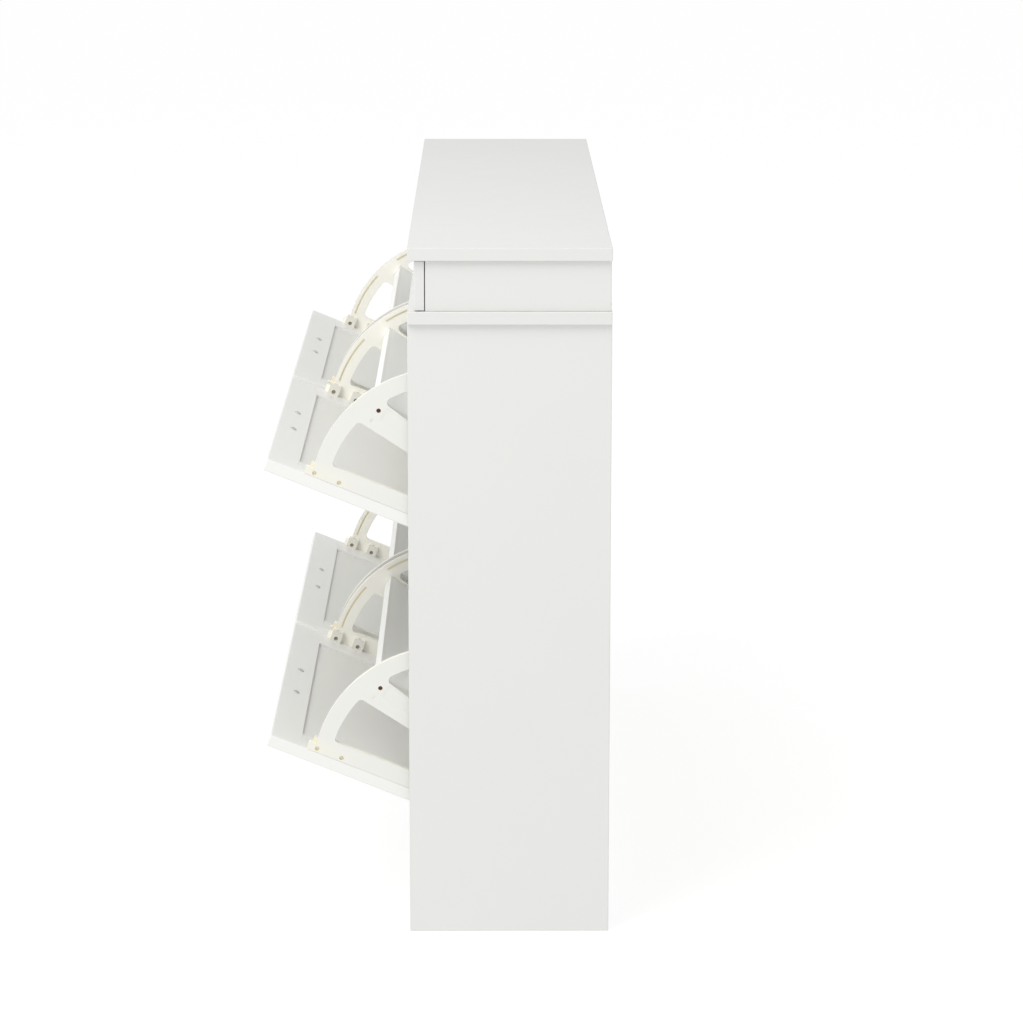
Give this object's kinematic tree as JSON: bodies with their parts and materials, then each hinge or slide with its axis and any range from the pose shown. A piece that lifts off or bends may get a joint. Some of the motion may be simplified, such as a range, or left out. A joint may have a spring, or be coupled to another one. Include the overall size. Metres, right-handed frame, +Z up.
{
  "type": "shoe cabinet",
  "caption": "Slim white shoe cabinet with tilt-out flaps on fan-shaped plastic brackets, and shallow drawers under the top.",
  "frame": {"origin": "on the floor, at the middle of the centre foot, under the middle of the cabinet", "axes": "+X along the cabinet, -Y out of its front, +Z up; flaps open and drawers closed at rest"},
  "size_m": [1.2, 0.4118, 0.833],
  "materials": {
    "white_board": "white melamine on particle board, satin",
    "white_door": "white lacquered board, satin",
    "drawer_liner": "white melamine, satin",
    "white_hardboard": "white faced hardboard, matte",
    "bracket_plastic": "ivory moulded plastic, satin",
    "peg_plastic": "ivory moulded plastic",
    "foot_plastic": "grey moulded plastic",
    "handle_metal": "satin nickel",
    "screw_steel": "zinc plated",
    "pin_steel": "zinc plated",
    "cam_zinc": "die-cast zinc",
    "beech_dowel": "raw beech",
    "runner_wood": "white coated hardwood"
  },
  "bodies": {
    "carcass": {"back_panel": "white_hardboard", "bottom_board": "white_board", "cam_locks": "cam_zinc", "centre_divider": "white_board", "centre_foot": "foot_plastic", "dowels": "beech_dowel", "drawer_board": "white_board", "drawer_divider": "white_board", "drawer_runners": "runner_wood", "drawer_stops": "peg_plastic", "kick_board": "white_board", "pivot_pins": "pin_steel", "runner_screws": "screw_steel", "side_panel_left": "white_board", "side_panel_right": "white_board", "stop_pegs": "peg_plastic", "top_board": "white_board", "upper_back_panel": "white_hardboard", "upper_side_left": "white_board", "upper_side_right": "white_board"},
    "upper_left_flap": {"upper_left_bracket_left": "bracket_plastic", "upper_left_bracket_right": "bracket_plastic", "upper_left_door_frame": "white_door", "upper_left_door_panel": "white_door", "upper_left_handle": "handle_metal", "upper_left_middle_shelf": "white_board", "upper_left_rear_shelf": "white_board", "upper_left_screws": "screw_steel"},
    "upper_right_flap": {"upper_right_bracket_left": "bracket_plastic", "upper_right_bracket_right": "bracket_plastic", "upper_right_door_frame": "white_door", "upper_right_door_panel": "white_door", "upper_right_handle": "handle_metal", "upper_right_middle_shelf": "white_board", "upper_right_rear_shelf": "white_board", "upper_right_screws": "screw_steel"},
    "lower_left_flap": {"lower_left_bracket_left": "bracket_plastic", "lower_left_bracket_right": "bracket_plastic", "lower_left_door_frame": "white_door", "lower_left_door_panel": "white_door", "lower_left_handle": "handle_metal", "lower_left_middle_shelf": "white_board", "lower_left_rear_shelf": "white_board", "lower_left_screws": "screw_steel"},
    "lower_right_flap": {"lower_right_bracket_left": "bracket_plastic", "lower_right_bracket_right": "bracket_plastic", "lower_right_door_frame": "white_door", "lower_right_door_panel": "white_door", "lower_right_handle": "handle_metal", "lower_right_middle_shelf": "white_board", "lower_right_rear_shelf": "white_board", "lower_right_screws": "screw_steel"},
    "left_drawer": {"drawer_left_back": "drawer_liner", "drawer_left_bottom": "drawer_liner", "drawer_left_front": "white_door", "drawer_left_sides": "drawer_liner"},
    "right_drawer": {"drawer_right_back": "drawer_liner", "drawer_right_bottom": "drawer_liner", "drawer_right_front": "white_door", "drawer_right_sides": "drawer_liner"}
  },
  "joints": [
    {"name": "upper_left_hinge", "type": "hinge", "parent": "carcass", "child": "upper_left_flap", "pos_m": [-0.29375, -0.0765, 0.526], "axis": [-1, 0, 0], "range_deg": [0, 68.1]},
    {"name": "upper_right_hinge", "type": "hinge", "parent": "carcass", "child": "upper_right_flap", "pos_m": [0.29375, -0.0765, 0.526], "axis": [-1, 0, 0], "range_deg": [0, 68.1]},
    {"name": "lower_left_hinge", "type": "hinge", "parent": "carcass", "child": "lower_left_flap", "pos_m": [-0.29375, -0.0765, 0.18801], "axis": [-1, 0, 0], "range_deg": [0, 68.1]},
    {"name": "lower_right_hinge", "type": "hinge", "parent": "carcass", "child": "lower_right_flap", "pos_m": [0.29375, -0.0765, 0.18801], "axis": [-1, 0, 0], "range_deg": [0, 68.1]},
    {"name": "left_drawer_slide", "type": "slide", "parent": "carcass", "child": "left_drawer", "axis": [0, -1, 0], "range_m": [0, 0.15]},
    {"name": "right_drawer_slide", "type": "slide", "parent": "carcass", "child": "right_drawer", "axis": [0, -1, 0], "range_m": [0, 0.15]}
  ]
}
